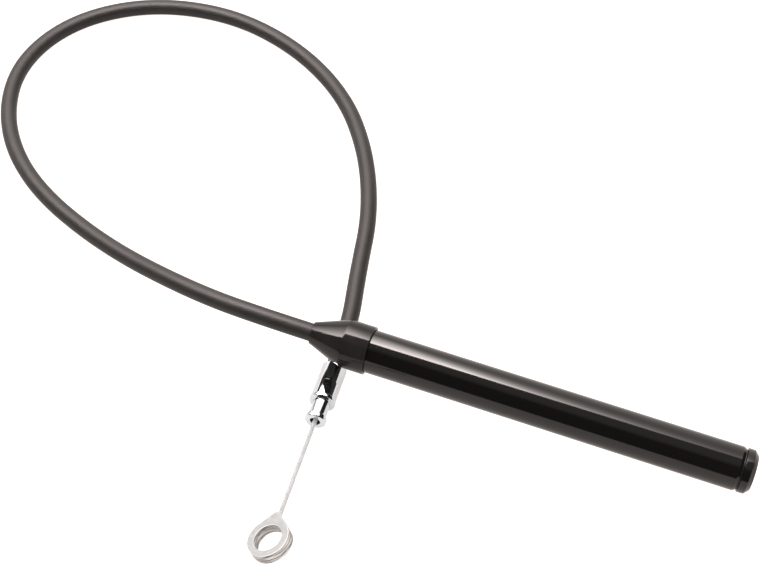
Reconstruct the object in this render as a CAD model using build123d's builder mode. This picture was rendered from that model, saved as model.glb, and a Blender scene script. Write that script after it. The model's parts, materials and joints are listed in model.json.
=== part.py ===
from build123d import *
import os
from math import cos, pi, radians, sin, tan

# In-line control cable extension, in millimetres.
# The floor is z = 0. The tube lies along +X with its cap end on the floor and its boot end
# raised, because it rests across its own cable's ferrule. Places along the tube are stations,
# measured along its axis from the mouth of the boot: negative into the boot, positive to the cap.

# ---------------------------------------------------------------- driving dimensions
TUBE_OD = 22.2
TUBE_ID = 20.1
TUBE_START = -11.0
TUBE_END = 190.0
TUBE_END_CHAMFER = (1.2, 0.45)
TUBE_PITCH = 3.6

BOOT_OD = 25.0
BOOT_SKIRT = 13.2
BOOT_CONE = 18.0
BOOT_TIP_OD = 11.4
BOOT_LIP = 4.6
BOOT_SHOULDER_FILLET = 2.5
BOOT_EDGE_FILLET = 0.4
BOOT_CAVITY_CLEARANCE = 0.3
BOOT_WALL = 2.1

CAP_OD = 22.2
CAP_HEAD = (191.0, 196.7)
CAP_SPIGOT_START = 182.0
CAP_CHAMFER = 2.2
CAP_INNER_CHAMFER = 0.4
CAP_BORE = 9.2
CAP_SLOT = 3.2
CAP_SLOT_ANGLE = 135
CAP_NECK_OD = 18.4
RUNNING_CLEARANCE = 0.05

O_RING_SECTION = 0.9
O_RING_CLEARANCE = 0.08

CABLE_OD = 9.4
CONDUIT_OD = 6.0
LINER_OD = 4.6
LINER_ID = 3.5
WIRE_OD = 2.3
CABLE_ON_FLOOR = 4.75
FIRST_BEND = -53.0
LAST_RUN = 38.0

PLUG_FLANGE_START = -12.8
PLUG_SEAT_END = -4.0
PLUG_END = 3.0
END_CAP_WALL = 1.0
END_CAP_START = -18.0
END_CAP_OD = 10.6

COUPLER_START = 18.0
SOCKET_OD = 12.0
SOCKET_WALL = 4.0
SOCKET_LENGTH = 24.0
BARREL_OD = 7.8
BARREL_LENGTH = 10.0
ROD_OD = 8.0
ROD_IN_SOCKET = 8.0
ROD_CHAMFER = 0.6
NUT_FLATS = 13.0
NUT_HEIGHT = 6.5
YOKE_START = 110.5
YOKE_BOSS = 12.0
YOKE_BOSS_OD = 15.0
YOKE_OD = 18.6
YOKE_END = 156.0
YOKE_CHAMFER = 1.0
FORK_GAP = 7.0
FORK_BOTTOM = 133.5
FORK_FLATS = 14.4
PIN_STATION = 146.0
PIN_OD = 7.0
PIN_HEAD_OD = 10.0
PIN_HEAD = 1.1
PIN_TAIL = 1.4
CLIP_OD = 10.8
CLIP_THICKNESS = 0.8
CLIP_GROOVE_OD = 5.6
CLIP_MOUTH = 4.6
BUSH_OD = 14.1
BUSH_LENGTH = 6.6
GUIDE_OD = 19.9
GUIDE_WIDTH = 8.0
GUIDE_CHAMFER = 0.5
CORE_WIRE_START = -23.0

LEVER_TURN = 3.7
LEVER_PITCH = 1.0
FERRULE_PLACE = (-98.2, -39.1)
FERRULE_LENGTH = 34.5
FERRULE_CRIMP = 12.0
FERRULE_OD = 12.9
FERRULE_FLATS = 12.3
FLANGE_OD = 13.6
FLANGE_SPAN = (12.0, 14.0)
NOSE_OD = 9.0
BEAD_OD = 11.0
BEAD_LENGTH = 3.0
BEAD_FILLET = 0.7
FLANGE_FILLET = 0.3
NOSE_BORE = 5.2
FERRULE_LINER_START = 3.0
LEVER_WIRE_HIDDEN = 16.0

EYE_DISTANCE = 71.2
EYE_BORE = 14.3
EYE_OD = 21.3
EYE_THICKNESS = 6.4
EYE_TIP = 14.7
EYE_TIP_RADIUS = 2.0
EYE_TILT = 22.0
EYE_FILLET = 0.45
EYE_SOCKET = 6.0

# Diameters closer than this are taken as one size when edges are picked.
SAME_SIZE = 0.01

# ---------------------------------------------------------------- frame
# The axis runs down towards the cap; the head's rim touches the floor where its chamfer starts.
AXIS_DIR = Vector(cos(radians(TUBE_PITCH)), 0, -sin(radians(TUBE_PITCH)))
AXIS_UP = Vector(sin(radians(TUBE_PITCH)), 0, cos(radians(TUBE_PITCH)))
BOOT_TIP = -(BOOT_SKIRT + BOOT_CONE)
MIDDLE = (BOOT_TIP + CAP_HEAD[1]) / 2
REST_STATION = CAP_HEAD[1] - CAP_CHAMFER
MIDDLE_HEIGHT = CAP_OD / 2 * AXIS_UP.Z - (REST_STATION - MIDDLE) * AXIS_DIR.Z


def on_axis(station):
    """The point of the tube's axis at a station."""
    return Vector(0, 0, MIDDLE_HEIGHT) + AXIS_DIR * (station - MIDDLE)


TUBE_AXIS = Axis(on_axis(0), AXIS_DIR)
ACROSS = Plane(origin=on_axis(0), x_dir=AXIS_UP, z_dir=AXIS_DIR)
ALONG = Plane(origin=on_axis(0), x_dir=AXIS_DIR, z_dir=(0, -1, 0))
PIN_PLANE = Plane(origin=on_axis(PIN_STATION), x_dir=AXIS_DIR, z_dir=(0, 1, 0))

# The ferrule's flange rests on the floor and the lever end rises a little from there.
# FERRULE_PLANE faces back up the ferrule, towards the cable.
LEVER_SIDE = Vector(-cos(radians(LEVER_TURN)), -sin(radians(LEVER_TURN)), 0)
LEVER_LEVEL = Vector(sin(radians(LEVER_TURN)), -cos(radians(LEVER_TURN)), 0)
LEVER_DIR = LEVER_LEVEL * cos(radians(LEVER_PITCH)) + Vector(0, 0, 1) * sin(radians(LEVER_PITCH))
LEVER_UP = LEVER_SIDE.cross(LEVER_DIR)
FLANGE_RISE = FLANGE_SPAN[1] * sin(radians(LEVER_PITCH))
FERRULE_END = Vector(*FERRULE_PLACE, FLANGE_OD / 2 * LEVER_UP.Z + FLANGE_RISE)
FERRULE_PLANE = Plane(origin=FERRULE_END, x_dir=LEVER_SIDE, z_dir=-LEVER_DIR)
EYE_NORMAL = LEVER_UP * cos(radians(EYE_TILT)) + LEVER_SIDE * sin(radians(EYE_TILT))
EYE_CENTRE = FERRULE_END + LEVER_DIR * EYE_DISTANCE
EYE_PLANE = Plane(origin=EYE_CENTRE, x_dir=-LEVER_DIR, z_dir=EYE_NORMAL)


def turn_rings(plane, *rings):
    """Add coaxial rings to the part, each as its start, end, outer diameter and bore."""
    for start, end, outer, bore in rings:
        with BuildSketch(plane.offset(start)) as section:
            Circle(outer / 2)
            if bore:
                Circle(bore / 2, mode=Mode.SUBTRACT)
        extrude(section.sketch, amount=end - start)


def rims(builder, diameter):
    """The circular edges of one diameter, in order along the tube."""
    circles = builder.edges().filter_by(GeomType.CIRCLE)
    return circles.filter_by(lambda rim: abs(2 * rim.radius - diameter) < SAME_SIZE).sort_by(TUBE_AXIS)


# ---------------------------------------------------------------- connector tube
with BuildPart() as connector_tube:
    turn_rings(ACROSS, (TUBE_START, TUBE_END, TUBE_OD, TUBE_ID))
    outside = connector_tube.faces().filter_by(GeomType.CYLINDER).sort_by(SortBy.AREA)[-1]
    chamfer(rims(connector_tube, TUBE_OD)[-1], *TUBE_END_CHAMFER, reference=outside)

# ---------------------------------------------------------------- plug and cable end cap
with BuildPart() as cable_end_plug:
    turn_rings(
        ACROSS,
        (PLUG_FLANGE_START, TUBE_START, TUBE_OD, END_CAP_OD),
        (TUBE_START, PLUG_SEAT_END, TUBE_ID, END_CAP_OD),
        (PLUG_SEAT_END, PLUG_END, TUBE_ID, LINER_ID),
    )

CABLE_END = PLUG_SEAT_END - END_CAP_WALL
with BuildPart() as housing_end_cap:
    turn_rings(
        ACROSS,
        (END_CAP_START, CABLE_END, END_CAP_OD, CABLE_OD),
        (CABLE_END, PLUG_SEAT_END, END_CAP_OD, LINER_ID),
    )

# ---------------------------------------------------------------- rubber boot
BOOT_CAVITY_START = BOOT_TIP + BOOT_LIP
BOOT_CAVITY_RADIUS = (END_CAP_OD / 2 + BOOT_CAVITY_CLEARANCE, BOOT_OD / 2 - BOOT_WALL)
with BuildPart() as rubber_boot:
    with BuildSketch(ALONG) as boot_section:
        with BuildLine():
            Polyline(
                (BOOT_TIP, CABLE_OD / 2),
                (BOOT_TIP, BOOT_TIP_OD / 2),
                (-BOOT_SKIRT, BOOT_OD / 2),
                (0, BOOT_OD / 2),
                (0, TUBE_OD / 2),
                (PLUG_FLANGE_START, TUBE_OD / 2),
                (PLUG_FLANGE_START, BOOT_CAVITY_RADIUS[1]),
                (BOOT_CAVITY_START, BOOT_CAVITY_RADIUS[0]),
                (BOOT_CAVITY_START, CABLE_OD / 2),
                close=True,
            )
        make_face()
    revolve(axis=TUBE_AXIS)
    fillet(rims(rubber_boot, BOOT_OD)[0], BOOT_SHOULDER_FILLET)
    fillet([rims(rubber_boot, BOOT_OD)[-1], *rims(rubber_boot, BOOT_TIP_OD)], BOOT_EDGE_FILLET)

# ---------------------------------------------------------------- end cap and its ring
with BuildPart() as end_cap:
    turn_rings(
        ACROSS,
        (CAP_SPIGOT_START, TUBE_END, TUBE_ID - 2 * RUNNING_CLEARANCE, CAP_BORE),
        (TUBE_END, CAP_HEAD[0], CAP_NECK_OD, CAP_BORE),
        (CAP_HEAD[0], CAP_HEAD[1], CAP_OD, CAP_BORE),
    )
    chamfer(rims(end_cap, CAP_OD)[-1], CAP_CHAMFER)
    chamfer(rims(end_cap, CAP_OD)[0], CAP_INNER_CHAMFER)
    # The slot lets the cap pass sideways over the bare wire of the cable that it receives.
    with BuildSketch(ACROSS.offset(CAP_SPIGOT_START).rotated((0, 0, CAP_SLOT_ANGLE))):
        with Locations((CAP_OD / 2, 0)):
            Rectangle(CAP_OD, CAP_SLOT)
    extrude(amount=CAP_HEAD[1] - CAP_SPIGOT_START, mode=Mode.SUBTRACT)

O_RING_STATION = (TUBE_END + CAP_HEAD[0]) / 2
O_RING_RADIUS = (CAP_NECK_OD + O_RING_SECTION) / 2 + O_RING_CLEARANCE
with BuildPart() as o_ring:
    with BuildSketch(ALONG):
        with Locations((O_RING_STATION, O_RING_RADIUS)):
            Circle(O_RING_SECTION / 2)
    revolve(axis=TUBE_AXIS)

# ---------------------------------------------------------------- coupler inside the tube
SOCKET_END = COUPLER_START + SOCKET_LENGTH
BARREL_START = COUPLER_START + SOCKET_WALL
with BuildPart() as coupler_socket:
    turn_rings(
        ACROSS,
        (COUPLER_START, BARREL_START, SOCKET_OD, LINER_ID),
        (BARREL_START, SOCKET_END, SOCKET_OD, ROD_OD),
    )

with BuildPart() as wire_barrel:
    turn_rings(ACROSS, (BARREL_START, BARREL_START + BARREL_LENGTH, BARREL_OD, WIRE_OD))

with BuildPart() as core_wire:
    turn_rings(ACROSS, (CORE_WIRE_START, BARREL_START + BARREL_LENGTH, WIRE_OD, 0))

with BuildPart() as coupler_rod:
    turn_rings(ACROSS, (SOCKET_END - ROD_IN_SOCKET, YOKE_START + YOKE_BOSS, ROD_OD, 0))
    chamfer(rims(coupler_rod, ROD_OD), ROD_CHAMFER)


def lock_nut(start):
    """A hexagonal nut on the rod, from a station towards the cap."""
    with BuildPart() as nut:
        with BuildSketch(ACROSS.offset(start)):
            RegularPolygon(NUT_FLATS / 2, 6, major_radius=False)
            Circle(ROD_OD / 2, mode=Mode.SUBTRACT)
        extrude(amount=NUT_HEIGHT)
    return nut


rear_lock_nut = lock_nut(SOCKET_END)
front_lock_nut = lock_nut(YOKE_START - NUT_HEIGHT)

with BuildPart() as coupler_yoke:
    turn_rings(
        ACROSS,
        (YOKE_START, YOKE_START + YOKE_BOSS, YOKE_BOSS_OD, ROD_OD),
        (YOKE_START + YOKE_BOSS, YOKE_END, YOKE_OD, 0),
    )
    chamfer(rims(coupler_yoke, YOKE_OD)[-1], YOKE_CHAMFER)
    with BuildSketch(ALONG):
        with Locations(((FORK_BOTTOM + YOKE_END) / 2, 0)):
            Rectangle(YOKE_END - FORK_BOTTOM, YOKE_OD)
    extrude(amount=FORK_GAP / 2, both=True, mode=Mode.SUBTRACT)
    for cheek in (PIN_PLANE.offset(FORK_FLATS / 2), PIN_PLANE.offset(-YOKE_OD / 2)):
        with BuildSketch(cheek):
            Rectangle(2 * (YOKE_END - PIN_STATION), YOKE_OD)
        extrude(amount=(YOKE_OD - FORK_FLATS) / 2, mode=Mode.SUBTRACT)
    with BuildSketch(PIN_PLANE):
        Circle(PIN_OD / 2)
    extrude(amount=YOKE_OD / 2, both=True, mode=Mode.SUBTRACT)

CLIP_START = FORK_FLATS / 2
with BuildPart() as coupler_pin:
    turn_rings(
        PIN_PLANE,
        (-CLIP_START - PIN_HEAD, -CLIP_START, PIN_HEAD_OD, 0),
        (-CLIP_START, CLIP_START, PIN_OD, 0),
        (CLIP_START, CLIP_START + CLIP_THICKNESS, CLIP_GROOVE_OD, 0),
        (CLIP_START + CLIP_THICKNESS, CLIP_START + PIN_TAIL, PIN_OD, 0),
    )

with BuildPart() as pin_clip:
    with BuildSketch(PIN_PLANE.offset(CLIP_START)):
        Circle(CLIP_OD / 2)
        Circle(CLIP_GROOVE_OD / 2, mode=Mode.SUBTRACT)
        with Locations((CLIP_OD / 2, 0)):
            Rectangle(CLIP_OD, CLIP_MOUTH, mode=Mode.SUBTRACT)
    extrude(amount=CLIP_THICKNESS)

with BuildPart() as eyelet_bush:
    turn_rings(PIN_PLANE, (-BUSH_LENGTH / 2, BUSH_LENGTH / 2, BUSH_OD, PIN_OD + 2 * RUNNING_CLEARANCE))


def guide_ring(start, bore):
    """A plastic ring that keeps the coupler central in the tube."""
    with BuildPart() as ring:
        turn_rings(ACROSS, (start, start + GUIDE_WIDTH, GUIDE_OD, bore))
        chamfer(rims(ring, GUIDE_OD), GUIDE_CHAMFER)
    return ring


rear_guide_ring = guide_ring(COUPLER_START + (SOCKET_LENGTH - GUIDE_WIDTH) / 2, SOCKET_OD)
front_guide_ring = guide_ring(YOKE_START + (YOKE_BOSS - GUIDE_WIDTH) / 2, YOKE_BOSS_OD)

# ---------------------------------------------------------------- lever end
CABLE_SEAT = FERRULE_LENGTH - FERRULE_CRIMP
with BuildPart() as lever_ferrule:
    turn_rings(
        FERRULE_PLANE,
        (0, BEAD_LENGTH, BEAD_OD, NOSE_BORE),
        (BEAD_LENGTH, FLANGE_SPAN[0], NOSE_OD, NOSE_BORE),
        (*FLANGE_SPAN, FLANGE_OD, NOSE_BORE),
        (FLANGE_SPAN[1], CABLE_SEAT, FERRULE_OD, NOSE_BORE),
    )
    with BuildSketch(FERRULE_PLANE.offset(CABLE_SEAT)):
        Circle(FERRULE_OD / 2)
        RegularPolygon(FERRULE_FLATS / 2, 6, major_radius=False, mode=Mode.INTERSECT)
        Circle(CABLE_OD / 2, mode=Mode.SUBTRACT)
    extrude(amount=FERRULE_CRIMP)
    fillet(rims(lever_ferrule, BEAD_OD), BEAD_FILLET)
    fillet(rims(lever_ferrule, FLANGE_OD), FLANGE_FILLET)

with BuildPart() as ferrule_liner:
    turn_rings(FERRULE_PLANE, (FERRULE_LINER_START, CABLE_SEAT, NOSE_BORE, LINER_ID))

WIRE_TIP = -(EYE_DISTANCE - EYE_TIP + EYE_SOCKET)
with BuildPart() as lever_wire:
    turn_rings(FERRULE_PLANE, (WIRE_TIP, LEVER_WIRE_HIDDEN, WIRE_OD, 0))

with BuildPart() as lever_eyelet:
    with BuildSketch(EYE_PLANE.offset(-EYE_THICKNESS / 2)):
        Circle(EYE_OD / 2)
        with Locations((EYE_TIP - EYE_TIP_RADIUS, 0)):
            Circle(EYE_TIP_RADIUS)
        make_hull()
        Circle(EYE_BORE / 2, mode=Mode.SUBTRACT)
    extrude(amount=EYE_THICKNESS)
    ring_faces = lever_eyelet.faces().sort_by(Axis(EYE_CENTRE, EYE_NORMAL))
    fillet(ring_faces[0].edges() + ring_faces[-1].edges(), EYE_FILLET)
    with BuildSketch(FERRULE_PLANE.offset(WIRE_TIP)):
        Circle(WIRE_OD / 2)
    extrude(amount=EYE_TIP, mode=Mode.SUBTRACT)

# ---------------------------------------------------------------- free cable
# From the plug straight out of the boot, down to the floor, round in one loop, under the boot
# and straight into the ferrule.
ROUTE = [
    on_axis(CABLE_END),
    on_axis(FIRST_BEND),
    Vector(-184.5, 8, 21),
    Vector(-250, 32, 7.5),
    Vector(-309.5, 61.5, CABLE_ON_FLOOR),
    Vector(-347.5, 100.5, CABLE_ON_FLOOR),
    Vector(-365, 149, CABLE_ON_FLOOR),
    Vector(-352.5, 196, CABLE_ON_FLOOR),
    Vector(-314, 228, CABLE_ON_FLOOR),
    Vector(-261, 236.5, CABLE_ON_FLOOR),
    Vector(-209.5, 221, CABLE_ON_FLOOR),
    Vector(-166.5, 190, CABLE_ON_FLOOR),
    Vector(-138, 149.5, CABLE_ON_FLOOR),
    Vector(-119.5, 104.5, CABLE_ON_FLOOR),
    Vector(-111.5, 62, CABLE_ON_FLOOR),
    FERRULE_PLANE.from_local_coords((0, 0, CABLE_SEAT + LAST_RUN)),
    FERRULE_PLANE.from_local_coords((0, 0, CABLE_SEAT)),
]


def corner_radii(points):
    """The largest arcs that the runs on both sides of each corner allow."""
    radii = []
    for before, corner, after in zip(points, points[1:], points[2:]):
        half_turn = radians((corner - before).get_angle(after - corner)) / 2
        shorter = min((corner - before).length, (after - corner).length)
        radii.append(0.45 * shorter / tan(half_turn))
    return radii


def cable_layer(outer, bore):
    """One layer of the cable: a plain tube along the whole route."""
    with BuildPart() as layer:
        with BuildLine() as centre_line:
            FilletPolyline(*ROUTE, radius=corner_radii(ROUTE))
        with BuildSketch(Plane(origin=ROUTE[0], z_dir=ROUTE[1] - ROUTE[0])):
            Circle(outer / 2)
            Circle(bore / 2, mode=Mode.SUBTRACT)
        sweep(path=centre_line.wires()[0])
    section = pi * (outer ** 2 - bore ** 2) / 4
    length = centre_line.wires()[0].length
    print(f"layer {outer} mm: length {length:.1f}, volume / (section x length) "
          f"{layer.part.volume / (section * length):.4f}")
    return layer


print("corner radii:", [round(radius) for radius in corner_radii(ROUTE)])
cable_jacket = cable_layer(CABLE_OD, CONDUIT_OD)
cable_conduit = cable_layer(CONDUIT_OD, LINER_OD)
cable_liner = cable_layer(LINER_OD, LINER_ID)

# ---------------------------------------------------------------- export
PARTS = {
    "connector_tube": connector_tube,
    "cable_end_plug": cable_end_plug,
    "housing_end_cap": housing_end_cap,
    "rubber_boot": rubber_boot,
    "end_cap": end_cap,
    "o_ring": o_ring,
    "coupler_socket": coupler_socket,
    "wire_barrel": wire_barrel,
    "core_wire": core_wire,
    "coupler_rod": coupler_rod,
    "rear_lock_nut": rear_lock_nut,
    "front_lock_nut": front_lock_nut,
    "coupler_yoke": coupler_yoke,
    "coupler_pin": coupler_pin,
    "pin_clip": pin_clip,
    "eyelet_bush": eyelet_bush,
    "rear_guide_ring": rear_guide_ring,
    "front_guide_ring": front_guide_ring,
    "lever_ferrule": lever_ferrule,
    "ferrule_liner": ferrule_liner,
    "lever_wire": lever_wire,
    "lever_eyelet": lever_eyelet,
    "cable_jacket": cable_jacket,
    "cable_conduit": cable_conduit,
    "cable_liner": cable_liner,
}

os.makedirs("parts", exist_ok=True)
for name, builder in PARTS.items():
    builder.part.label = name
    export_step(builder.part, f"parts/{name}.step")
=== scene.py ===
import json
from math import acos, atan2, ceil, cos, pi, radians, sin, sqrt, tan
import bmesh
import bpy
from mathutils import Matrix, Vector, noise


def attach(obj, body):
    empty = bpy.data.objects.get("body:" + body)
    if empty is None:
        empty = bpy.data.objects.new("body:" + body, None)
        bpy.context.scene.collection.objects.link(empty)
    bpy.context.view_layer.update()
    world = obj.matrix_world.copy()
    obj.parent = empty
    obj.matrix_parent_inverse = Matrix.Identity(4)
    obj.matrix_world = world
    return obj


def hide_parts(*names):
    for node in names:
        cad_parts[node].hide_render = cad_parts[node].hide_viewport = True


# In-line control cable extension, dressed on its CAD frame. Lengths are in metres.
# A place along the tube is a station, measured from the boot's mouth towards the cap.
# A place along the lever ferrule is measured from its open end back towards the cable.

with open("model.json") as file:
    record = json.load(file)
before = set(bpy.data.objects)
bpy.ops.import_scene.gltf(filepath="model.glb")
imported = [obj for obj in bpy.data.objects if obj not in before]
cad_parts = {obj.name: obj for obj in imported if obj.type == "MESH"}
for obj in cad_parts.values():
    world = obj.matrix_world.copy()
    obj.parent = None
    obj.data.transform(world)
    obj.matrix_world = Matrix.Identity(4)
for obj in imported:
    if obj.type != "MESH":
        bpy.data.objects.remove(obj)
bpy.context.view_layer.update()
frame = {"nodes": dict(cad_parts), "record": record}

MM = 0.001
nodes = frame["nodes"]
mounts = {mount["name"]: mount for mount in frame["record"]["mounts"]}

# ---------------------------------------------------------------- camera
CAMERA_AIM = Vector((-99.2, 62.7, 0)) * MM
CAMERA_DISTANCE = 0.8155
CAMERA_AZIMUTH = 19.2
CAMERA_ELEVATION = 50.24
CAMERA_LENS = 71.05


def make_camera():
    """The photograph's viewing angle."""
    data = bpy.data.cameras.new("camera")
    data.lens = CAMERA_LENS
    data.sensor_width = 36
    camera = bpy.data.objects.new("camera", data)
    bpy.context.scene.collection.objects.link(camera)
    turn, tilt = radians(CAMERA_AZIMUTH), radians(CAMERA_ELEVATION)
    back = Vector((sin(turn) * cos(tilt), -cos(turn) * cos(tilt), sin(tilt)))
    camera.location = CAMERA_AIM + back * CAMERA_DISTANCE
    camera.rotation_euler = back.to_track_quat("Z", "Y").to_euler()
    bpy.context.scene.camera = camera


make_camera()

# ---------------------------------------------------------------- places on the frame
ENTRY_STATION = 189.35 * MM
FERRULE_FLANGE = 12.0 * MM

AXIS = Vector(mounts["cable_entry"]["axis"])
MOUTH = Vector(mounts["cable_entry"]["pos_m"]) - AXIS * ENTRY_STATION
LEVER = Vector(mounts["lever_ferrule_seat"]["axis"])
FERRULE_END = Vector(mounts["lever_ferrule_seat"]["pos_m"]) + LEVER * FERRULE_FLANGE
EYE_CENTRE = Vector(mounts["eyelet_bore"]["pos_m"])
EYE_NORMAL = Vector(mounts["eyelet_bore"]["axis"])


def placed(origin, along, across):
    """The matrix of a place whose z is along, and whose x is across, made square to it."""
    z = along.normalized()
    x = (across - z * across.dot(z)).normalized()
    turn = Matrix((x, z.cross(x), z)).transposed().to_4x4()
    return Matrix.Translation(origin) @ turn


UP = Vector((0, 0, 1))
TUBE = placed(MOUTH, AXIS, UP)
FERRULE = placed(FERRULE_END, -LEVER, UP)
EYE = placed(EYE_CENTRE, EYE_NORMAL, -LEVER)


def on_axis(station):
    """The point of the tube's axis at a station."""
    return MOUTH + AXIS * station


def on_ferrule(distance):
    """The point of the ferrule's axis at a distance from its open end."""
    return FERRULE_END - LEVER * distance


# ---------------------------------------------------------------- free cable
CABLE_OD = 9.4 * MM
CABLE_START = -5.0 * MM
CABLE_SEAT = 22.5 * MM
BOOT_TIP = -31.2 * MM
ON_FLOOR = 4.75
# From the plug out of the boot, down to the floor, round in one loop, under the boot and into
# the ferrule. The second point is a little off the axis, so that the curve leaves the boot on it.
ROUTE = [
    on_axis(CABLE_START),
    on_axis(-53.0 * MM) + Vector((0.05, -0.75, 0.8)) * MM,
    Vector((-184.5, 8, 21)) * MM,
    Vector((-250, 32, 7.5)) * MM,
    Vector((-309.5, 61.5, ON_FLOOR)) * MM,
    Vector((-347.5, 100.5, ON_FLOOR)) * MM,
    Vector((-365, 149, ON_FLOOR)) * MM,
    Vector((-352.5, 196, ON_FLOOR)) * MM,
    Vector((-314, 228, ON_FLOOR)) * MM,
    Vector((-261, 236.5, ON_FLOOR)) * MM,
    Vector((-209.5, 221, ON_FLOOR)) * MM,
    Vector((-166.5, 190, ON_FLOOR)) * MM,
    Vector((-138, 149.5, ON_FLOOR)) * MM,
    Vector((-119.5, 104.5, ON_FLOOR)) * MM,
    Vector((-111.5, 62, ON_FLOOR)) * MM,
    on_ferrule(60.5 * MM),
    on_ferrule(CABLE_SEAT),
]


def make_cable():
    """The sheathed cable as one smooth curve."""
    data = bpy.data.curves.new("cable", "CURVE")
    data.dimensions = "3D"
    spline = data.splines.new("NURBS")
    spline.points.add(len(ROUTE) - 1)
    for point, place in zip(spline.points, ROUTE):
        point.co = (*place, 1)
    spline.order_u = 3
    spline.use_endpoint_u = True
    spline.resolution_u = 24
    data.bevel_depth = CABLE_OD / 2
    data.bevel_resolution = 8
    data.use_fill_caps = True
    cable = bpy.data.objects.new("cable", data)
    bpy.context.scene.collection.objects.link(cable)
    return cable


# ---------------------------------------------------------------- mesh helpers
def add_mesh(name, points, faces, sharp=30):
    """A piece from points and faces in the CAD frame, smooth but for its sharp edges."""
    mesh = bpy.data.meshes.new(name)
    mesh.from_pydata([tuple(point) for point in points], [], faces)
    shell = bmesh.new()
    shell.from_mesh(mesh)
    bmesh.ops.recalc_face_normals(shell, faces=shell.faces)
    shell.to_mesh(mesh)
    shell.free()
    mesh.shade_smooth()
    mesh.set_sharp_from_angle(angle=radians(sharp))
    piece = bpy.data.objects.new(name, mesh)
    bpy.context.scene.collection.objects.link(piece)
    return piece


def softened(corners, steps=5):
    """An outline from (along, radius, fillet) corners, closed, with each corner rounded."""
    outline = []
    for index, (along, radius, fillet) in enumerate(corners):
        corner = Vector((along, radius))
        before = Vector(corners[index - 1][:2]) - corner
        after = Vector(corners[(index + 1) % len(corners)][:2]) - corner
        opening = before.angle(after)
        if not fillet or opening > pi - 0.01:
            outline.append(corner)
            continue
        reach = fillet / tan(opening / 2)
        start = corner + before.normalized() * reach
        end = corner + after.normalized() * reach
        centre = corner + (before.normalized() + after.normalized()).normalized() * (
            fillet / sin(opening / 2))
        first, last = start - centre, end - centre
        turn = first.angle_signed(last)
        for step in range(steps + 1):
            angle = -turn * step / steps
            outline.append(centre + Vector((
                first.x * cos(angle) - first.y * sin(angle),
                first.x * sin(angle) + first.y * cos(angle))))
    return outline


def ring_faces(count, around, closed=True):
    """Quads between rows of points: count rows of the same length, each row a closed outline."""
    faces = []
    for row in range(count if closed else count - 1):
        following = (row + 1) % count
        for index in range(around):
            beside = (index + 1) % around
            faces.append((row * around + index, row * around + beside,
                          following * around + beside, following * around + index))
    return faces


def lathe(name, place, outline, steps=128, shape=None):
    """Turn a closed outline of (along, radius) about a place's z. shape may change the radius."""
    points = []
    for step in range(steps):
        angle = 2 * pi * step / steps
        for along, radius in outline:
            reach = shape(along, radius, angle) if shape else radius
            points.append(place @ Vector((reach * cos(angle), reach * sin(angle), along)))
    return add_mesh(name, points, ring_faces(steps, len(outline)))


def smooth_step(value, low, high):
    """0 below low, 1 above high, and a smooth rise between them."""
    share = min(1, max(0, (value - low) / (high - low)))
    return share * share * (3 - 2 * share)


# ---------------------------------------------------------------- tube and boot
TUBE_START = -11.0 * MM
TUBE_END = 190.0 * MM
TUBE_RADIUS = 11.1 * MM
TUBE_BORE = 10.05 * MM
TUBE_CHAMFER = Vector((1.2, 0.45)) * MM
EDGE = 0.12 * MM

BOOT_SKIRT = -13.2 * MM
BOOT_RADIUS = 12.5 * MM
BOOT_TIP_RADIUS = 5.7 * MM
BOOT_LIP = 4.6 * MM
BOOT_BACK = -12.8 * MM
BOOT_BACK_STEP = 1.0 * MM
BOOT_CAVITY_GAP = 0.9 * MM
BOOT_SHOULDER_FILLET = 2.4 * MM
BOOT_MOUTH_GAP = 0.45 * MM
BOOT_MOUTH_DEPTH = 0.9 * MM
BOOT_TIP_GAP = 0.35 * MM
PARTING_HEIGHT = 0.07 * MM
PARTING_WIDTH = 0.35 * MM


def make_tube():
    """The anodised sleeve, with its turned end chamfer."""
    return lathe("tube_sleeve", TUBE, softened([
        (TUBE_START, TUBE_BORE, EDGE),
        (TUBE_START, TUBE_RADIUS, EDGE),
        (TUBE_END - TUBE_CHAMFER.x, TUBE_RADIUS, 5 * EDGE),
        (TUBE_END, TUBE_RADIUS - TUBE_CHAMFER.y, EDGE),
        (TUBE_END, TUBE_BORE, 0),
    ]), steps=192)


def parting_line(along, radius, angle):
    """The radius with the mould's fine parting line on both sides of the boot."""
    if radius < CABLE_OD / 2 + BOOT_TIP_GAP:
        return radius
    off = radius * abs(cos(angle))
    return radius + PARTING_HEIGHT * max(0, 1 - off / PARTING_WIDTH)


def make_boot():
    """The moulded rubber boot: lip, cone, rounded shoulder and skirt, open at its mouth."""
    cable_radius = CABLE_OD / 2
    inner_back = TUBE_RADIUS - BOOT_BACK_STEP
    cavity_start = BOOT_TIP + BOOT_LIP
    return lathe("cable_boot", TUBE, softened([
        (BOOT_TIP + 2 * BOOT_TIP_GAP, cable_radius, 0),
        (BOOT_TIP, cable_radius + BOOT_TIP_GAP, EDGE),
        (BOOT_TIP, BOOT_TIP_RADIUS, 2 * EDGE),
        (BOOT_SKIRT, BOOT_RADIUS, BOOT_SHOULDER_FILLET),
        (0, BOOT_RADIUS, 3 * EDGE),
        (0, TUBE_RADIUS + BOOT_MOUTH_GAP, EDGE),
        (-BOOT_MOUTH_DEPTH, TUBE_RADIUS, 0),
        (BOOT_BACK, TUBE_RADIUS, 0),
        (BOOT_BACK, inner_back, 0),
        (cavity_start, cable_radius + BOOT_CAVITY_GAP, 0),
        (cavity_start, cable_radius, 0),
    ], steps=8), steps=192, shape=parting_line)


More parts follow.
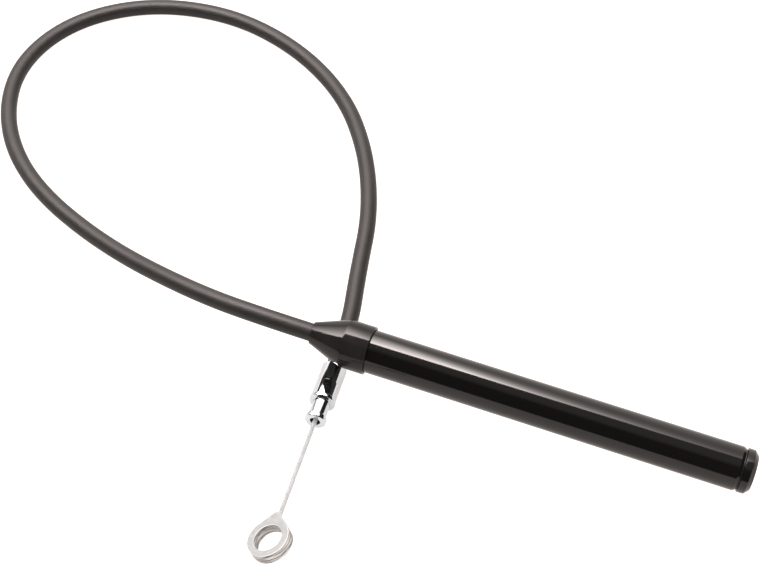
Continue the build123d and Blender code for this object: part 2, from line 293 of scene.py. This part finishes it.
# ---------------------------------------------------------------- screw cap
CAP_START = 182.0 * MM
CAP_HEAD = 191.0 * MM
CAP_END = 196.7 * MM
CAP_RADIUS = 11.1 * MM
CAP_NECK = 9.2 * MM
CAP_BORE = 4.6 * MM
CAP_CHAMFER = 2.2 * MM
CAP_SLOT = 3.2 * MM
CAP_SLOT_ANGLE = radians(135)
CAP_STEPS = 180
THREAD_PITCH = 1.5 * MM
THREAD_CREST = 10.0 * MM
THREAD_ROOT = 9.25 * MM
THREAD_COUNT = 4
THREAD_LEAD = 0.7 * MM
# How far inside the tube's end the thread starts to fade, has faded, and steps down to the neck.
THREAD_FADE = (2.2 * MM, 1.0 * MM)
NECK_STEP = (0.6 * MM, 0.3 * MM)
# One tooth as (share of the pitch, share of the height) points.
THREAD_TOOTH = [(0.06, 0), (0.38, 1), (0.56, 1), (0.88, 0)]


def make_cap():
    """The cap as one outline swept from one wall of its wire slot round to the other.

    The thread's teeth advance by one pitch over the turn, and run out at both ends.
    """
    spigot = [Vector((CAP_START, CAP_BORE + 2 * EDGE)), Vector((CAP_START, THREAD_ROOT - 4 * EDGE)),
              Vector((CAP_START + 4 * EDGE, THREAD_ROOT))]
    head = softened([
        (TUBE_END - NECK_STEP[0], THREAD_ROOT, 0),
        (TUBE_END - NECK_STEP[1], CAP_NECK, 0),
        (CAP_HEAD, CAP_NECK, EDGE),
        (CAP_HEAD, CAP_RADIUS, 2 * EDGE),
        (CAP_END - CAP_CHAMFER, CAP_RADIUS, 2 * EDGE),
        (CAP_END, CAP_RADIUS - CAP_CHAMFER, 2 * EDGE),
        (CAP_END, CAP_BORE, 3 * EDGE),
        (CAP_START + 2 * EDGE, CAP_BORE, 0),
    ])
    first_tooth = CAP_START + THREAD_LEAD
    fade_start, fade_end = (TUBE_END - inside for inside in THREAD_FADE)
    points = []
    for step in range(CAP_STEPS + 1):
        share = step / CAP_STEPS
        teeth = []
        for number in range(THREAD_COUNT):
            for part, height in THREAD_TOOTH:
                along = first_tooth + (number + share + part) * THREAD_PITCH
                fade = smooth_step(along, first_tooth, first_tooth + THREAD_PITCH) * (
                    1 - smooth_step(along, fade_start, fade_end))
                rise = height * fade * (THREAD_CREST - THREAD_ROOT)
                teeth.append(Vector((along, THREAD_ROOT + rise)))
        for along, radius in spigot + teeth + head:
            wall = atan2(CAP_SLOT / 2, sqrt(radius ** 2 - (CAP_SLOT / 2) ** 2))
            angle = CAP_SLOT_ANGLE + wall + share * (2 * pi - 2 * wall)
            points.append(TUBE @ Vector((radius * cos(angle), radius * sin(angle), along)))
    around = len(points) // (CAP_STEPS + 1)
    faces = ring_faces(CAP_STEPS + 1, around, closed=False)
    faces.append(tuple(range(around)))
    faces.append(tuple(CAP_STEPS * around + index for index in range(around)))
    return add_mesh("screw_cap", points, faces)


# ---------------------------------------------------------------- lever ferrule
FERRULE_LENGTH = 34.5 * MM
FERRULE_RADIUS = 6.45 * MM
FERRULE_FLATS = 6.15 * MM
FLANGE_RADIUS = 6.8 * MM
FLANGE_END = 14.0 * MM
NOSE_RADIUS = 4.5 * MM
BEAD_RADIUS = 5.5 * MM
BEAD_LENGTH = 3.0 * MM
BEAD_FRONT_FILLET = 0.7 * MM
BEAD_BACK_FILLET = 0.6 * MM
NOSE_BORE = 2.6 * MM
CRIMP_RUN_OUT = 0.7 * MM
CRIMP_LEAST_RADIUS = FLANGE_RADIUS - 0.5 * MM


def crimped(along, radius, angle):
    """The radius pressed flat on six sides where the ferrule grips the cable."""
    if radius < CRIMP_LEAST_RADIUS or along < CABLE_SEAT:
        return radius
    from_flat = (angle + pi / 6) % (pi / 3) - pi / 6
    flat = FERRULE_FLATS / cos(from_flat)
    pressed = smooth_step(along, CABLE_SEAT, CABLE_SEAT + CRIMP_RUN_OUT)
    return radius + pressed * (min(radius, flat) - radius)


def make_ferrule():
    """The plated ferrule: beaded nose, flange, body and hexagonal crimp."""
    crimp = [(CABLE_SEAT + CRIMP_RUN_OUT * share, FERRULE_RADIUS, 0)
             for share in (0, 0.25, 0.5, 0.75, 1)]
    return lathe("plated_ferrule", FERRULE, softened([
        (0, NOSE_BORE, 3 * EDGE),
        (0, BEAD_RADIUS, BEAD_FRONT_FILLET),
        (BEAD_LENGTH, BEAD_RADIUS, BEAD_BACK_FILLET),
        (BEAD_LENGTH, NOSE_RADIUS, EDGE),
        (FERRULE_FLANGE, NOSE_RADIUS, 2 * EDGE),
        (FERRULE_FLANGE, FLANGE_RADIUS, 4 * EDGE),
        (FLANGE_END, FLANGE_RADIUS, 2 * EDGE),
        (FLANGE_END, FERRULE_RADIUS, EDGE),
        *crimp,
        (FERRULE_LENGTH, FERRULE_RADIUS, 3 * EDGE),
        (FERRULE_LENGTH, CABLE_OD / 2, EDGE),
        (CABLE_SEAT, CABLE_OD / 2, 0),
        (CABLE_SEAT, NOSE_BORE, 0),
    ], steps=6), steps=192, shape=crimped)


# ---------------------------------------------------------------- stranded wire
WIRE_RADIUS = 1.15 * MM
STRAND_RADIUS = 0.235 * MM
STRAND_COUNT = 12
STRAND_LAY = 21.0 * MM
STRAND_SIDES = 8
STRAND_STEP = 0.9 * MM


def make_wire(name, place, start, end):
    """A wire rope: a core and one layer of strands laid round it."""
    rows = ceil((end - start) / STRAND_STEP)
    helix = WIRE_RADIUS - STRAND_RADIUS
    points, faces = [], []
    for strand in range(-1, STRAND_COUNT):
        first = len(points)
        for row in range(rows + 1):
            along = start + (end - start) * row / rows
            turn = 2 * pi * (strand / STRAND_COUNT + along / STRAND_LAY)
            reach = 0 if strand < 0 else helix
            radius = helix - 0.5 * STRAND_RADIUS if strand < 0 else STRAND_RADIUS
            for side in range(STRAND_SIDES):
                angle = turn + 2 * pi * side / STRAND_SIDES
                points.append(place @ Vector((reach * cos(turn) + radius * cos(angle),
                                              reach * sin(turn) + radius * sin(angle), along)))
        for face in ring_faces(rows + 1, STRAND_SIDES, closed=False):
            faces.append(tuple(first + index for index in face))
        faces.append(tuple(first + index for index in range(STRAND_SIDES)))
        faces.append(tuple(first + rows * STRAND_SIDES + index for index in range(STRAND_SIDES)))
    return add_mesh(name, points, faces, sharp=60)


# ---------------------------------------------------------------- cast eyelet
EYE_BORE = 7.15 * MM
EYE_RADIUS = 10.65 * MM
EYE_HALF = 3.2 * MM
EYE_TIP = 14.7 * MM
EYE_TIP_RADIUS = 2.0 * MM
EYE_EDGE = 0.45 * MM
EYE_STEPS = 420
EYE_WALL_ROWS = 26
EYE_FACE_ROWS = 5
WALL_ROUGHNESS = 0.20 * MM
WALL_SQUEEZE = 12.0
WALL_GRAIN = 1400
FACE_ROUGHNESS = 0.03 * MM
FACE_GRAIN = 300
FLOW_LINES = (90, 90, 900)


def eye_outline(angle):
    """How far the eyelet's outline is from its bore's centre, in one direction."""
    tip_centre = EYE_TIP - EYE_TIP_RADIUS
    lean = acos((EYE_RADIUS - EYE_TIP_RADIUS) / tip_centre)
    tip_edge = atan2(EYE_TIP_RADIUS * sin(lean), tip_centre + EYE_TIP_RADIUS * cos(lean))
    bearing = abs((angle + pi) % (2 * pi) - pi)
    if bearing >= lean:
        return EYE_RADIUS
    if bearing >= tip_edge:
        return EYE_RADIUS / cos(lean - bearing)
    return tip_centre * cos(bearing) + sqrt(EYE_TIP_RADIUS ** 2 - (tip_centre * sin(bearing)) ** 2)


def eye_section(outer):
    """The eyelet's cross-section, as (radius, height, share of wall) points in a closed line.

    It goes up the outer wall and in over the top face, then down the bore and out underneath.
    """
    section = []
    half_wall = EYE_HALF - EYE_EDGE
    corner = [(1 - cos(angle), sin(angle)) for angle in (pi / 8, pi / 4, 3 * pi / 8)]
    for side, wall, far_wall in ((1, outer, EYE_BORE), (-1, EYE_BORE, outer)):
        edge = side * EYE_EDGE
        for row in range(EYE_WALL_ROWS + 1):
            section.append((wall, side * half_wall * (2 * row / EYE_WALL_ROWS - 1), 1))
        for inset, rise in corner:
            section.append((wall - edge * inset, side * (half_wall + EYE_EDGE * rise), 0.5))
        near, far = wall - edge, far_wall + edge
        for row in range(EYE_FACE_ROWS + 1):
            section.append((near + (far - near) * row / EYE_FACE_ROWS, side * EYE_HALF, 0))
        for inset, rise in reversed(corner):
            section.append((far_wall + edge * inset, side * (half_wall + EYE_EDGE * rise), 0.5))
    return section


def make_eyelet():
    """The cast teardrop eye, with flow lines round its walls and nearly flat faces."""
    points = []
    for step in range(EYE_STEPS):
        angle = 2 * pi * step / EYE_STEPS
        outer = eye_outline(angle)
        for radius, height, wall in eye_section(outer):
            flat = Vector((radius * cos(angle), radius * sin(angle), height))
            lines = noise.noise([size * spread for size, spread in zip(flat, FLOW_LINES)])
            grain = noise.noise(flat * WALL_GRAIN)
            sunk = (0.5 + 0.5 * lines + 0.25 * grain) * WALL_ROUGHNESS * wall
            inward = -1 if radius > (outer + EYE_BORE) / 2 else 1
            radius += inward * sunk
            dip = (1 - wall) * FACE_ROUGHNESS * (1 + noise.noise(flat * FACE_GRAIN))
            height -= dip if height > 0 else -dip
            points.append(EYE @ Vector((radius * cos(angle), radius * sin(angle), height)))
    faces = ring_faces(EYE_STEPS, len(points) // EYE_STEPS)
    return add_mesh("cast_eyelet", points, faces, sharp=50)


# ---------------------------------------------------------------- materials
def add_node(tree, kind, inputs=None, **settings):
    """A node with its settings, and its inputs set or linked."""
    node = tree.nodes.new(kind)
    for name, value in settings.items():
        setattr(node, name, value)
    for name, value in (inputs or {}).items():
        if isinstance(value, bpy.types.NodeSocket):
            tree.links.new(value, node.inputs[name])
        else:
            node.inputs[name].default_value = value
    return node


def blank_material(name):
    """A material with only its shader, which is returned with the node tree."""
    material = bpy.data.materials.new(name)
    material.use_nodes = True
    tree = material.node_tree
    tree.nodes.clear()
    shader = add_node(tree, "ShaderNodeBsdfPrincipled")
    add_node(tree, "ShaderNodeOutputMaterial", {"Surface": shader.outputs["BSDF"]})
    return material, tree, shader


def noise_value(tree, scale, detail=4, stretch=(1, 1, 1)):
    """A noise pattern fixed to the piece, stretched along its own axes."""
    place = add_node(tree, "ShaderNodeTexCoord")
    squeezed = add_node(tree, "ShaderNodeMapping", {
        "Vector": place.outputs["Object"], "Scale": stretch})
    pattern = add_node(tree, "ShaderNodeTexNoise", {
        "Vector": squeezed.outputs["Vector"], "Scale": scale, "Detail": detail, "Roughness": 0.55})
    return pattern.outputs["Fac"]


def ramp(tree, value, low, high, start=0.3, end=0.7):
    """Colours from low to high as a value rises from start to end."""
    node = add_node(tree, "ShaderNodeValToRGB", {"Fac": value})
    node.color_ramp.elements[0].position = start
    node.color_ramp.elements[1].position = end
    node.color_ramp.elements[0].color = (*low, 1)
    node.color_ramp.elements[1].color = (*high, 1)
    return node.outputs["Color"]


def spread_to(tree, value, low, high):
    """A value from about 0.3 to 0.7 spread over low to high."""
    node = add_node(tree, "ShaderNodeMapRange", {
        "Value": value, "From Min": 0.3, "From Max": 0.7, "To Min": low, "To Max": high})
    return node.outputs["Result"]


def bump(tree, height, distance, under=None):
    """A bump of a real depth, over another one if given."""
    inputs = {"Height": height, "Distance": distance, "Strength": 1.0}
    if under is not None:
        inputs["Normal"] = under
    return add_node(tree, "ShaderNodeBump", inputs).outputs["Normal"]


def finish_material(name, dark, light, rough, patches, grain, depth, metallic=0.0,
                    stretch=(1, 1, 1), **sockets):
    """A material whose colour drifts in patches, with a finer grain of roughness and relief."""
    material, tree, shader = blank_material(name)
    drift = noise_value(tree, patches, stretch=stretch)
    fine = noise_value(tree, grain, detail=6, stretch=stretch)
    tree.links.new(ramp(tree, drift, dark, light), shader.inputs["Base Color"])
    tree.links.new(spread_to(tree, fine, *rough), shader.inputs["Roughness"])
    tree.links.new(bump(tree, fine, depth), shader.inputs["Normal"])
    shader.inputs["Metallic"].default_value = metallic
    for socket, value in sockets.items():
        shader.inputs[socket.replace("_", " ")].default_value = value
    return material


ZINC_FACE = ((0.300, 0.320, 0.330), (0.345, 0.367, 0.376))
ZINC_WALL = ((0.07, 0.068, 0.066), (0.50, 0.51, 0.505))
# The pale colour along the eyelet's edges is a painted highlight, on edges worn bright.
ZINC_EDGE_HIGHLIGHT = (0.82, 0.86, 0.88)
ZINC_FACE_FROM = EYE_HALF - 0.18 * EYE_EDGE
ZINC_STREAKS = 140.0
ZINC_CLOUDS = 260
ZINC_GRAIN = 2600


def make_zinc():
    """Cast zinc: linished pale faces, edges worn bright with a painted highlight on them, and darker
    walls with streaks round them.
    """
    material, tree, shader = blank_material("cast_zinc")
    place = add_node(tree, "ShaderNodeTexCoord").outputs["Object"]
    centred = add_node(tree, "ShaderNodeVectorMath", {
        0: place, 1: EYE_CENTRE}, operation="SUBTRACT").outputs[0]
    height = add_node(tree, "ShaderNodeVectorMath", {
        0: centred, 1: EYE_NORMAL}, operation="DOT_PRODUCT").outputs["Value"]
    wall = add_node(tree, "ShaderNodeMapRange", {
        "Value": add_node(tree, "ShaderNodeMath", {0: height}, operation="ABSOLUTE").outputs[0],
        "From Min": EYE_HALF - EYE_EDGE, "From Max": ZINC_FACE_FROM,
        "To Min": 1.0, "To Max": 0.0}).outputs["Result"]
    rise = add_node(tree, "ShaderNodeVectorMath", {0: EYE_NORMAL}, operation="SCALE")
    tree.links.new(height, rise.inputs["Scale"])
    raised = add_node(tree, "ShaderNodeVectorMath", {
        0: rise.outputs[0], 1: (WALL_SQUEEZE,) * 3, 2: centred}, operation="MULTIPLY_ADD")
    streaks = add_node(tree, "ShaderNodeTexNoise", {
        "Vector": raised.outputs[0], "Scale": ZINC_STREAKS, "Detail": 5.0,
        "Roughness": 0.6}).outputs["Fac"]
    clouds = noise_value(tree, ZINC_CLOUDS, detail=5)
    face = ramp(tree, clouds, *ZINC_FACE)
    side = ramp(tree, streaks, *ZINC_WALL, start=0.38, end=0.60)
    colour = add_node(tree, "ShaderNodeMix", {0: wall, 6: face, 7: side}, data_type="RGBA")
    # The painted highlight on the worn edge has a share of 4 w (1 - w), which is 1 half way between
    # face and wall.
    left = add_node(tree, "ShaderNodeMath", {0: 1.0, 1: wall}, operation="SUBTRACT")
    both = add_node(tree, "ShaderNodeMath", {0: wall, 1: left.outputs[0]}, operation="MULTIPLY")
    highlight_share = add_node(tree, "ShaderNodeMath", {0: both.outputs[0], 1: 4.0}, operation="MULTIPLY")
    highlighted = add_node(tree, "ShaderNodeMix", {
        0: highlight_share.outputs[0], 6: colour.outputs[2], 7: (*ZINC_EDGE_HIGHLIGHT, 1)}, data_type="RGBA")
    tree.links.new(highlighted.outputs[2], shader.inputs["Base Color"])
    grain = noise_value(tree, ZINC_GRAIN)
    tree.links.new(spread_to(tree, grain, 0.44, 0.60), shader.inputs["Roughness"])
    relief = bump(tree, streaks, 0.05 * MM, under=bump(tree, grain, 0.012 * MM))
    tree.links.new(relief, shader.inputs["Normal"])
    shader.inputs["Specular IOR Level"].default_value = 0.15
    return material


def make_materials():
    """One material for each finish of the object, by the record's slot names."""
    return {
        "anodised_black": finish_material(
            "anodised_black", (0.0028, 0.0028, 0.0028), (0.0038, 0.0037, 0.0036), (0.07, 0.11),
            patches=14, grain=2500, depth=0.001 * MM, IOR=1.42),
        "boot_rubber": finish_material(
            "boot_rubber", (0.0085, 0.0081, 0.0079), (0.0118, 0.0112, 0.0108), (0.08, 0.13),
            patches=120, grain=2600, depth=0.006 * MM, IOR=1.29),
        "cable_vinyl": finish_material(
            "cable_vinyl", (0.0085, 0.0080, 0.0077), (0.0125, 0.0117, 0.0112), (0.42, 0.52),
            patches=90, grain=3200, depth=0.012 * MM, IOR=1.36),
        "chrome": finish_material(
            "chrome", (0.625, 0.68, 0.71), (0.665, 0.72, 0.75), (0.03, 0.06), metallic=1.0,
            patches=150, grain=1800, depth=0.001 * MM),
        "wire_steel": finish_material(
            "wire_steel", (0.39, 0.42, 0.435), (0.46, 0.495, 0.51), (0.50, 0.62),
            patches=500, grain=3000, depth=0.004 * MM, Specular_IOR_Level=0.2),
        "cast_zinc": make_zinc(),
        "plain_aluminium": finish_material(
            "plain_aluminium", (0.66, 0.67, 0.68), (0.78, 0.78, 0.79), (0.22, 0.34), metallic=1.0,
            patches=60, grain=2600, depth=0.004 * MM, stretch=(12, 1, 1)),
        "zinc_plate": finish_material(
            "zinc_plate", (0.52, 0.54, 0.57), (0.66, 0.67, 0.68), (0.20, 0.36), metallic=1.0,
            patches=140, grain=1800, depth=0.004 * MM),
        "brass": finish_material(
            "brass", (0.62, 0.42, 0.15), (0.76, 0.55, 0.24), (0.20, 0.34), metallic=1.0,
            patches=120, grain=2000, depth=0.004 * MM),
        "acetal": finish_material(
            "acetal", (0.72, 0.71, 0.66), (0.80, 0.79, 0.75), (0.35, 0.48),
            patches=80, grain=2400, depth=0.006 * MM),
        "ring_rubber": finish_material(
            "ring_rubber", (0.010, 0.010, 0.010), (0.017, 0.017, 0.017), (0.24, 0.34),
            patches=200, grain=2600, depth=0.006 * MM),
        "liner_black": finish_material(
            "liner_black", (0.012, 0.012, 0.012), (0.020, 0.020, 0.020), (0.35, 0.48),
            patches=200, grain=2600, depth=0.006 * MM),
        "liner_white": finish_material(
            "liner_white", (0.70, 0.70, 0.66), (0.80, 0.80, 0.77), (0.35, 0.48),
            patches=200, grain=2600, depth=0.006 * MM),
        "conduit_steel": finish_material(
            "conduit_steel", (0.38, 0.38, 0.39), (0.50, 0.50, 0.51), (0.28, 0.40), metallic=1.0,
            patches=200, grain=2200, depth=0.006 * MM),
    }


# ---------------------------------------------------------------- assembly
materials = make_materials()
SLOT_OF = {row["node"]: row["material_slot"] for row in frame["record"]["subparts"]}


def paint(piece, slot):
    """Give a piece its finish."""
    piece.data.materials.clear()
    piece.data.materials.append(materials[slot])


def stand_in(piece, body, *replaced):
    """A finer piece takes the place and the finish of CAD nodes and rides on their body."""
    paint(piece, SLOT_OF[replaced[0]])
    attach(piece, body)
    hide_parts(*replaced)
    return piece


for node_name, node in nodes.items():
    for place in node.material_slots:
        place.material = materials[SLOT_OF[node_name]]

# Where each stretch of wire starts and ends, along the ferrule's axis and the tube's.
LEVER_WIRE = (-62.3 * MM, 16.0 * MM)
CORE_WIRE = (-23.0 * MM, 32.0 * MM)

cable = stand_in(make_cable(), "tube", "cable_jacket", "cable_conduit", "cable_liner")
stand_in(make_tube(), "tube", "connector_tube")
stand_in(make_boot(), "tube", "rubber_boot")
stand_in(make_cap(), "cap", "end_cap")
ferrule = stand_in(make_ferrule(), "tube", "lever_ferrule")
stand_in(make_wire("coupler_wire", TUBE, *CORE_WIRE), "coupler", "core_wire")
lever_wire = stand_in(
    make_wire("lever_wire_strands", FERRULE, *LEVER_WIRE), "lever_end", "lever_wire")
eyelet = stand_in(make_eyelet(), "lever_end", "lever_eyelet")


# ---------------------------------------------------------------- floor and studio light
# The light is a little warm. Pairs are (from, to), but a softbox fall is (reach, power).
WARM = (1.10, 1.0, 0.957)

FLOOR_SIZE = 8.0
# Floor colour and glow fall from near to far: a painted pool of light round the pieces.
FLOOR_POOL_REACH = (0.55, 1.3)
FLOOR_POOL_NEAR = (0.42, 0.42, 0.42)
FLOOR_POOL_FAR = (0.22, 0.22, 0.22)
FLOOR_GLOW = (0.48, 0.14)
FLOOR_SEEN = 0.85

SOFTBOX_PLACE = (-0.107, 0.118, 0.75)
SOFTBOX_TURN = 16.5
SOFTBOX_LEFT = -0.86
SOFTBOX_RIGHT = 0.59
SOFTBOX_DEPTH = 1.2
SOFTBOX_FALL_X = (0.14, 1.0)
SOFTBOX_FALL_Y = (0.36, 1.0)
SOFTBOX_PEAK = 28.0
SOFTBOX_LEAST = 1.2

KEY_PLACE = (-0.35, 0.35, 1.1)
KEY_SIZE = 1.1
KEY_RADIANCE = 0.35

BRIGHT_SIDE = (-0.6, 0.8, 0)
BRIGHT_FROM = (0.30, 0.50)
MIRRORED_DARK = 0.03
MIRRORED_BRIGHT = 1.3
CEILING_FROM = (0.80, 0.97)
CEILING_GLOW = 0.4
AMBIENT = 1.75
BACKDROP = 1.0


def flat_piece(name, width, depth):
    """A flat rectangle about its own origin."""
    corners = [(x * width / 2, y * depth / 2, 0) for x, y in ((-1, -1), (1, -1), (1, 1), (-1, 1))]
    return add_mesh(name, corners, [(0, 1, 2, 3)])


def make_floor():
    """A plain pale floor that glows like a light table, more to the camera than to the pieces, with
    a painted pool of light round the pieces: paler and glowing more near them, darker farther out.
    """
    floor = flat_piece("floor", FLOOR_SIZE, FLOOR_SIZE)
    material, tree, shader = blank_material("pale_floor")
    place = add_node(tree, "ShaderNodeTexCoord").outputs["Object"]
    away = add_node(tree, "ShaderNodeVectorMath", {0: place}, operation="LENGTH").outputs["Value"]
    # The floor is paler and glows more near the pieces, darker farther out: a painted pool of light.
    far = add_node(tree, "ShaderNodeMapRange", {
        "Value": away, "From Min": FLOOR_POOL_REACH[0], "From Max": FLOOR_POOL_REACH[1]},
        interpolation_type="SMOOTHSTEP")
    colour = ramp(tree, far.outputs["Result"], FLOOR_POOL_NEAR, FLOOR_POOL_FAR, start=0, end=1)
    tree.links.new(colour, shader.inputs["Base Color"])
    shader.inputs["Roughness"].default_value = 0.9
    shader.inputs["Specular IOR Level"].default_value = 0.0
    shader.inputs["Emission Color"].default_value = (*WARM, 1)
    glow = add_node(tree, "ShaderNodeMapRange", {
        "Value": far.outputs["Result"], "To Min": FLOOR_GLOW[0], "To Max": FLOOR_GLOW[1]})
    paths = add_node(tree, "ShaderNodeLightPath")
    lit = add_node(tree, "ShaderNodeMix", {
        0: paths.outputs["Is Camera Ray"], 2: glow.outputs["Result"], 3: FLOOR_SEEN})
    tree.links.new(lit.outputs[0], shader.inputs["Emission Strength"])
    floor.data.materials.append(material)


def falling(tree, coordinate, reach, power):
    """1 up to the origin, and then a fall to 1/e at a reach beyond it."""
    ahead = add_node(tree, "ShaderNodeMath", {0: coordinate, 1: 0.0}, operation="MAXIMUM")
    share = add_node(tree, "ShaderNodeMath", {0: ahead.outputs[0], 1: reach}, operation="DIVIDE")
    raised = add_node(tree, "ShaderNodeMath", {0: share.outputs[0], 1: power}, operation="POWER")
    turned = add_node(tree, "ShaderNodeMath", {0: raised.outputs[0], 1: -1.0}, operation="MULTIPLY")
    return add_node(tree, "ShaderNodeMath", {0: turned.outputs[0]}, operation="EXPONENT").outputs[0]


def make_softbox():
    """The overhead softbox the gloss pieces mirror, brightest along its near edge on the left."""
    corners = [(x, y, 0) for x, y in (
        (SOFTBOX_LEFT, 0), (SOFTBOX_RIGHT, 0),
        (SOFTBOX_RIGHT, SOFTBOX_DEPTH), (SOFTBOX_LEFT, SOFTBOX_DEPTH))]
    box = add_mesh("softbox", corners, [(0, 1, 2, 3)])
    box.location = SOFTBOX_PLACE
    box.rotation_euler.z = radians(SOFTBOX_TURN)
    material = bpy.data.materials.new("softbox_cloth")
    material.use_nodes = True
    tree = material.node_tree
    tree.nodes.clear()
    place = add_node(tree, "ShaderNodeTexCoord").outputs["Object"]
    parts = add_node(tree, "ShaderNodeSeparateXYZ", {"Vector": place})
    along_fall = falling(tree, parts.outputs["X"], *SOFTBOX_FALL_X)
    across_fall = falling(tree, parts.outputs["Y"], *SOFTBOX_FALL_Y)
    both = add_node(tree, "ShaderNodeMath", {0: along_fall, 1: across_fall}, operation="MULTIPLY")
    strength = add_node(tree, "ShaderNodeMath", {
        0: both.outputs[0], 1: SOFTBOX_PEAK, 2: SOFTBOX_LEAST}, operation="MULTIPLY_ADD")
    glow = add_node(tree, "ShaderNodeEmission", {
        "Color": (*WARM, 1), "Strength": strength.outputs[0]})
    add_node(tree, "ShaderNodeOutputMaterial", {"Surface": glow.outputs["Emission"]})
    box.data.materials.append(material)
    box.visible_camera = False
    box.visible_diffuse = False
    box.visible_shadow = False


def make_key():
    """A broad key light for the matt surfaces, from behind and above."""
    data = bpy.data.lights.new("key", "AREA")
    data.shape = "SQUARE"
    data.size = KEY_SIZE
    data.color = WARM
    data.energy = KEY_RADIANCE * pi * KEY_SIZE ** 2
    lamp = bpy.data.objects.new("key", data)
    bpy.context.scene.collection.objects.link(lamp)
    lamp.location = KEY_PLACE
    lamp.rotation_euler = (Vector(KEY_PLACE) - CAMERA_AIM).to_track_quat("Z", "Y").to_euler()
    lamp.visible_camera = False
    lamp.visible_glossy = False


def make_surroundings():
    """An even pale studio for matt surfaces. Gloss ones mirror a bright side and a dark one."""
    world = bpy.data.worlds.new("studio")
    bpy.context.scene.world = world
    world.use_nodes = True
    tree = world.node_tree
    tree.nodes.clear()
    direction = add_node(tree, "ShaderNodeTexCoord").outputs["Generated"]
    facing = add_node(tree, "ShaderNodeVectorMath", {
        0: direction, 1: BRIGHT_SIDE}, operation="DOT_PRODUCT")
    share = add_node(tree, "ShaderNodeMapRange", {
        "Value": facing.outputs["Value"], "From Min": BRIGHT_FROM[0], "From Max": BRIGHT_FROM[1],
        "To Min": MIRRORED_DARK, "To Max": MIRRORED_BRIGHT}, interpolation_type="SMOOTHSTEP")
    rise = add_node(tree, "ShaderNodeSeparateXYZ", {"Vector": direction}).outputs["Z"]
    ceiling = add_node(tree, "ShaderNodeMapRange", {
        "Value": rise, "From Min": CEILING_FROM[0], "From Max": CEILING_FROM[1],
        "To Min": 0.0, "To Max": CEILING_GLOW}, interpolation_type="SMOOTHSTEP")
    both = add_node(tree, "ShaderNodeMath", {
        0: share.outputs["Result"], 1: ceiling.outputs["Result"]}, operation="ADD")
    paths = add_node(tree, "ShaderNodeLightPath")
    mirrored = add_node(tree, "ShaderNodeMix", {
        0: paths.outputs["Is Glossy Ray"], 2: AMBIENT, 3: both.outputs[0]})
    seen = add_node(tree, "ShaderNodeMix", {
        0: paths.outputs["Is Camera Ray"], 2: mirrored.outputs[0], 3: BACKDROP})
    background = add_node(tree, "ShaderNodeBackground", {
        "Color": (*WARM, 1), "Strength": seen.outputs[0]})
    add_node(tree, "ShaderNodeOutputWorld", {"Surface": background.outputs["Background"]})


make_floor()
make_surroundings()
make_softbox()
make_key()
bpy.context.scene.view_settings.view_transform = "Standard"
